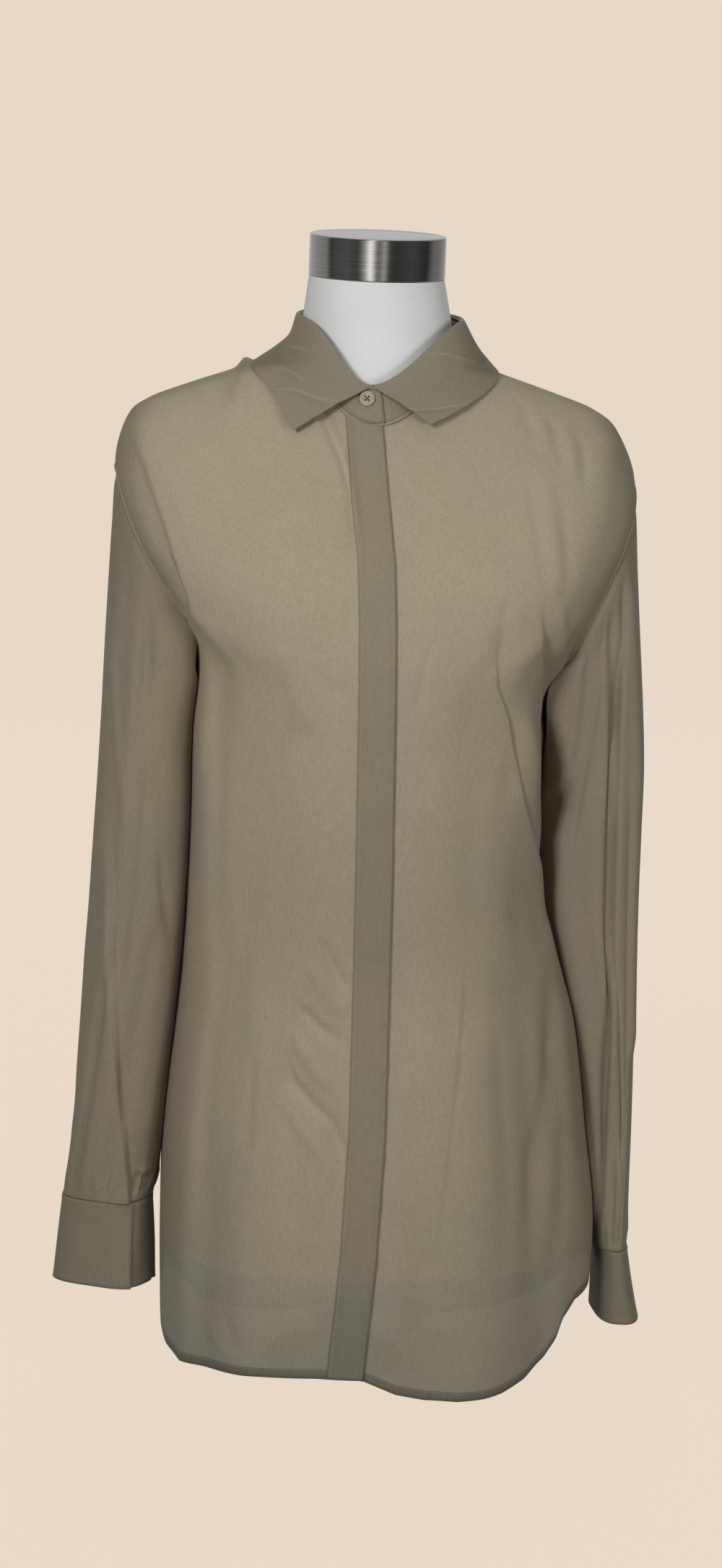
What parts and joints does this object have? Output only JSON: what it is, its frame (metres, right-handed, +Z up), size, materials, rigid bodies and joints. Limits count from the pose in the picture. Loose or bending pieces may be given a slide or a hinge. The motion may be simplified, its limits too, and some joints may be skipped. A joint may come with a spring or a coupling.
{
  "type": "button-up shirt on a dress form",
  "caption": "Long-sleeved button-up tunic shirt with a pointed collar, a covered button front and a curved hem, on a limbless dress form that it stands on.",
  "frame": {"origin": "on the floor, at the base plate's underside, below the middle of the form's neck", "axes": "+Z up, -Y the wearer's front, +X the wearer's left"},
  "size_m": [0.4735, 0.2646, 0.911],
  "materials": {
    "cloth": "matt crepe, slightly see-through",
    "double_cloth": "matt crepe in two layers",
    "button": "polished",
    "jersey": "smooth matt jersey",
    "steel": "brushed round its axis",
    "enamel": "satin"
  },
  "bodies": {
    "root": {"back": "cloth", "base_plate": "enamel", "collar_band": "double_cloth", "collar_button": "button", "collar_leaf": "double_cloth", "cuff_button_left": "button", "cuff_button_right": "button", "cuff_left": "double_cloth", "cuff_right": "double_cloth", "fly_button_1": "button", "fly_button_2": "button", "fly_button_3": "button", "fly_button_4": "button", "fly_button_5": "button", "fly_button_6": "button", "form_torso": "jersey", "front_left": "cloth", "front_right": "cloth", "neck_cap": "steel", "placket": "double_cloth", "sleeve_left": "cloth", "sleeve_right": "cloth", "stand_post": "steel"}
  },
  "joints": []
}
